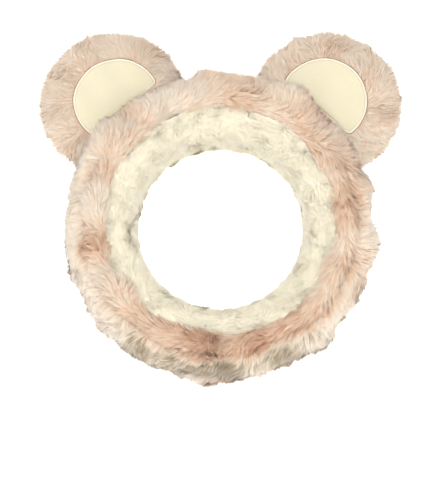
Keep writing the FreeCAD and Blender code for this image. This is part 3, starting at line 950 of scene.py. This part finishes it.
class Ear:
    """One ear. In its own frame u runs along the ring, v outward from its centre, and y as ever."""

    def __init__(self, side, sign):
        self.side = side
        self.body = f"{side}_ear"
        lean = EAR_LEAN * sign
        self.along = np.array([math.cos(lean), 0, -math.sin(lean)])
        self.outward = np.array([math.sin(lean), 0, math.cos(lean)])
        self.panel_middle = (-PANEL_ASIDE * sign, PANEL_MIDDLE)
        self.seed = 200 if sign < 0 else 300
        self.lumps = Waves(self.seed, 24 * MM)
        self.swirl = Waves(self.seed + 1, 36 * MM)
        self.patches = Waves(self.seed + 2, 26 * MM)
        self.form = self.puff()

    def bends(self, piece, material, slot, hidden=None):
        """Give a piece of the ear its material, and hide the part that it replaces; slot is not used."""
        piece.data.materials.append(material)
        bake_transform(piece)
        if hidden:
            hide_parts(hidden)

    def place(self, u, v, y):
        """Points in the row frame from the ear's own u, v and y."""
        across = np.asarray(u)[..., None] * self.along
        outward = np.asarray(v)[..., None] * self.outward
        return across + outward + np.asarray(y)[..., None] * Y_AXIS

    def own(self, points):
        return points @ self.along, points @ self.outward, points[:, 1]

    def beyond_panel(self, u, v):
        """How far outside the panel's outline a point is; negative inside it."""
        across, up = u - self.panel_middle[0], v - self.panel_middle[1]
        return np.hypot(across, up) - panel_edge(np.arctan2(across, up))

    def sewn_height(self, u, v):
        """Half of the ear's thickness as it is sewn, before it is stuffed."""
        return EAR_HALF * np.sqrt(np.clip(1 - ear_share(u, v) ** 2.8, 0, 1))

    def puff(self):
        """The stuffed ear, swollen between its rim seam, its foot and its panel's edge."""
        halves = [
            self.sheet(ear_edge, (0, EAR_MIDDLE), self.sewn_height, side, rings=16, spokes=96)
            for side in (-1, 1)
        ]
        start = len(halves[0][0])
        vertices = np.concatenate([half[0] for half in halves])
        faces = halves[0][1] + [tuple(index + start for index in face) for face in halves[1][1]]

        def is_pinned(points):
            u, v, y = self.own(points)
            on_panel = (np.abs(self.beyond_panel(u, v)) < 2 * MM) & (y < 0)
            return on_panel | (ear_share(u, v) > 0.93)

        return puffed(vertices, faces, voxel=3.5 * MM, pressure=4.0, cap=3.5 * MM, is_pinned=is_pinned)

    def height(self, u, v, side=-1):
        """Half of the stuffed ear's thickness: as sewn, plus the swelling, plus small lumps."""
        u, v = np.asarray(u, float), np.asarray(v, float)
        sewn = self.sewn_height(u, v)
        base = self.place(u, v, side * sewn)
        facing = np.tile([0.0, float(side), 0.0], (len(base), 1))
        fade = np.clip(1 - ear_share(u, v) ** 8, 0, 1)
        swelling = np.clip(laid_on(self.form, base, facing, 8 * MM), -1.5 * MM, 3.0 * MM)
        return sewn + (swelling + 0.5 * MM * self.lumps(base)) * fade

    def sheet(self, edge_of, middle, height_of, side, rings, spokes):
        """Vertices and faces of a round sheet on one face of the ear, from its middle outwards."""
        bearing = np.linspace(0, 2 * math.pi, spokes, endpoint=False)
        shares = np.sin(np.linspace(0, 1, rings + 1)[1:] * math.pi / 2)[:, None]
        u = np.concatenate([[0.0], (np.sin(bearing) * edge_of(bearing) * shares).ravel()]) + middle[0]
        v = np.concatenate([[0.0], (np.cos(bearing) * edge_of(bearing) * shares).ravel()]) + middle[1]
        vertices = self.place(u, v, side * height_of(u, v))
        faces = []
        for spoke in range(spokes):
            following = (spoke + 1) % spokes
            faces.append((0, 1 + spoke, 1 + following))
            for ring in range(rings - 1):
                low, high = 1 + ring * spokes, 1 + (ring + 1) * spokes
                faces.append((low + spoke, high + spoke, high + following, low + following))
        if side < 0:
            faces = [tuple(reversed(face)) for face in faces]
        return vertices, faces

    def comb(self, points, normals):
        u, v, _ = self.own(points)
        away = unit(self.place(u - self.panel_middle[0], v - self.panel_middle[1], np.zeros(len(u))))
        turn = np.cross(Y_AXIS, away)
        angle = 0.6 * self.swirl(points) + 0.4 * FINE_SWIRL(points)
        lean = turned(away, turn, angle)
        return lean * (1.2 + 0.25 * self.patches(points))[:, None]

    def pile_length(self, points):
        u, v, y = self.own(points)
        beside_panel = smooth(1 - self.beyond_panel(u, v) / (9 * MM)) * (y < 0)
        return 9.5 * MM * (1 - 0.3 * beside_panel)

    def pile_keep(self, points):
        u, v, y = self.own(points)
        return 1 - ((self.beyond_panel(u, v) < 0.6 * MM) & (y < 0)).astype(float)


def make_ear_shells(ear):
    for name, side in (("front", -1), ("back", 1)):
        arrays = ear.sheet(
            ear_edge, (0, EAR_MIDDLE), lambda u, v: ear.height(u, v, side), side, rings=22, spokes=160
        )
        skin = new_object(f"{ear.side}_ear_{name}_backing", *arrays)
        pile = grow_pile(
            f"{ear.side}_ear_{name}_pile", skin, EAR_PLUSH, ear.seed + 10 + side, ear.comb, ear.pile_length,
            keep=ear.pile_keep, shade=lambda points: 0.3 * ear.patches(points),
            clump=lambda points: np.clip(1 + 0.5 * ear.swirl(points * 1.5), 0.2, 1.7),
        )
        ear.bends(skin, PLUSH_BACKING, "plush", f"{ear.side}_ear_{name}_plush")
        for part in pile:
            ear.bends(part, PLUSH_PILE, "plush")


def panel_line(ear, scale, lift):
    """A closed line on the panel, at a share of the way to its outline, with its upward vectors."""
    bearing = np.linspace(0, 2 * math.pi, 241)
    reach = panel_edge(bearing) * scale
    u, v = np.sin(bearing) * reach + ear.panel_middle[0], np.cos(bearing) * reach + ear.panel_middle[1]
    line = ear.place(u, v, -(ear.height(u, v) + lift))
    return line, np.tile([0.0, -1.0, 0.0], (len(line), 1))


def make_ear_panel(ear):
    def height(u, v):
        flattening = np.clip(1 + ear.beyond_panel(u, v) / (2 * MM), 0, 1)
        return ear.height(u, v) + 1.2 * MM * (1 - flattening ** 2)

    arrays = ear.sheet(panel_edge, ear.panel_middle, height, -1, rings=24, spokes=144)
    panel = new_object(f"{ear.side}_ear_panel", *arrays)
    ear.bends(panel, VELOUR, "velour", f"{ear.side}_ear_inner_panel")

    line, ups = panel_line(ear, scale=1.0, lift=0.5 * MM)
    parts = [tube_arrays(line, np.full(len(line), 0.6 * MM), ups, sides=8)]
    binding = joined(f"{ear.side}_ear_binding", parts)
    ear.bends(binding, BINDING, "binding", f"{ear.side}_ear_panel_binding")

    # Stitches just outside the panel's edge, in dark thread: real stitches, and the painted shadow line along
    # the edge.
    line, ups = panel_line(ear, scale=1.028, lift=0.5 * MM)
    row = stitch_row(line, ups, pitch=2.2 * MM, share=0.8, radius=0.28 * MM, arch=0.3 * MM)
    stitches = joined(f"{ear.side}_ear_panel_stitches_and_shadow", row)
    ear.bends(stitches, PANEL_THREAD_AND_SHADOW, "binding")


def make_ear_inside(ear):
    fill_share, under_skin = 0.94, 1.5 * MM

    def height(u, v):
        roundness = np.sqrt(np.clip(1 - (ear_share(u, v) / fill_share) ** 4, 0, 1))
        return (ear.height(u, v) - under_skin) * roundness

    def edge(bearing):
        return ear_edge(bearing) * fill_share

    halves = [
        ear.sheet(edge, (0, EAR_MIDDLE), height, side, rings=14, spokes=96) for side in (-1, 1)
    ]
    filling = joined(f"{ear.side}_ear_fibre", halves)
    ear.bends(filling, FIBRE, "filling", f"{ear.side}_ear_filling")

    rim_end = math.radians(118)
    bearing = np.linspace(-rim_end, rim_end, 241)
    reach = ear_edge(bearing) + 0.1 * MM
    line = ear.place(np.sin(bearing) * reach, np.cos(bearing) * reach + EAR_MIDDLE, np.zeros(len(bearing)))
    outward = unit(line - ear.outward * EAR_MIDDLE)
    stitches = stitch_row(
        line, outward, pitch=3.4 * MM, share=0.7, radius=0.35 * MM, arch=0.5 * MM, slant=1.5 * MM
    )
    rim = joined(f"{ear.side}_ear_rim_stitches", stitches)
    ear.bends(rim, SEAM_THREAD, "thread", f"{ear.side}_ear_rim_thread")


def make_ear_foot(ear):
    """Whip stitches over the ear's foot, into the cover."""
    spread = np.linspace(-EAR_FOOT_HALF, EAR_FOOT_HALF, 121)
    radius = RING_OUTSIDE - 3.2 * MM
    line = ear.place(np.sin(spread) * radius, np.cos(spread) * radius, np.zeros(len(spread)))
    stitches = stitch_row(
        line, unit(line), pitch=3.0 * MM, share=0.55, radius=0.4 * MM, arch=0.7 * MM, slant=5.0 * MM
    )
    foot = joined(f"{ear.side}_ear_foot_stitches", stitches)
    on_body(foot, SEAM_THREAD, "crown_band", f"{ear.side}_ear_base_thread")


# ---------------------------------------------------------------- stage

def make_camera():
    """A long lens, a little below the ring's middle, so that more of the upper lining shows."""
    distance = 0.55
    elevation = math.radians(-10.5)
    aim = Vector((-0.002, 0, -0.015))
    picture_height = 0.3465
    camera = linked("camera", bpy.data.cameras.new("camera"))
    camera.location = Vector((0, -math.cos(elevation), math.sin(elevation))) * distance
    back = (camera.location - aim).normalized()
    camera.rotation_mode = "QUATERNION"
    camera.rotation_quaternion = back.to_track_quat("Z", "Y")
    camera.data.sensor_width = 36
    camera.data.lens = camera.data.sensor_width * distance / picture_height
    camera.data.clip_start = 0.01
    bpy.context.scene.camera = camera


ROOM_LIGHT = 0.88
WALL_LIGHT = 2.4
# Each soft lamp's place, size and power.
SOFTBOXES = (((-0.14, -1.18, 0.44), 1.0, 5.8), ((0.1, -1.25, -0.25), 0.9, 3.9))


def make_light():
    """A dim room, a bright wall behind the part, and soft lamps beside the camera."""
    world = bpy.data.worlds.new("studio")
    world.use_nodes = True
    nodes, links = world.node_tree.nodes, world.node_tree.links
    direction = nodes.new("ShaderNodeTexCoord")
    parts = nodes.new("ShaderNodeSeparateXYZ")
    links.new(direction.outputs["Generated"], parts.inputs[0])
    wall = nodes.new("ShaderNodeMapRange")
    wall.interpolation_type = "SMOOTHSTEP"
    set_inputs(wall, {"From Min": 0.2, "From Max": 0.8, "To Min": ROOM_LIGHT, "To Max": WALL_LIGHT})
    links.new(parts.outputs["Y"], wall.inputs["Value"])
    nodes["Background"].inputs[0].default_value = (1, 1, 1, 1)
    links.new(wall.outputs["Result"], nodes["Background"].inputs[1])
    bpy.context.scene.world = world
    bpy.context.scene.view_settings.view_transform = "Standard"
    for place, size, power in SOFTBOXES:
        lamp = linked("softbox", bpy.data.lights.new("softbox", "AREA"))
        lamp.location = place
        lamp.rotation_mode = "QUATERNION"
        lamp.rotation_quaternion = (-Vector(place)).to_track_quat("-Z", "Y")
        lamp.data.size = size
        lamp.data.energy = power


def make_floor():
    reach, level = 3.0, -0.21    # clear of the ring when it is stretched
    corners = [(-reach, -reach, level), (reach, -reach, level), (reach, reach, level), (-reach, reach, level)]
    floor = new_object("floor", corners, [(0, 1, 2, 3)])
    material, _, _, shader = new_material("floor")
    white = (1, 1, 1, 1)
    set_inputs(shader, {
        "Base Color": white, "Roughness": 0.9, "Emission Color": white, "Emission Strength": 0.5,
    })
    floor.data.materials.append(material)


make_camera()
make_light()
make_floor()
make_cover()
make_lining()
make_core()
make_elastic()
make_edge_seams()
make_closing_seam()
for side, sign in (("left", -1), ("right", 1)):
    ear = Ear(side, sign)
    make_ear_shells(ear)
    make_ear_panel(ear)
    make_ear_inside(ear)
    make_ear_foot(ear)
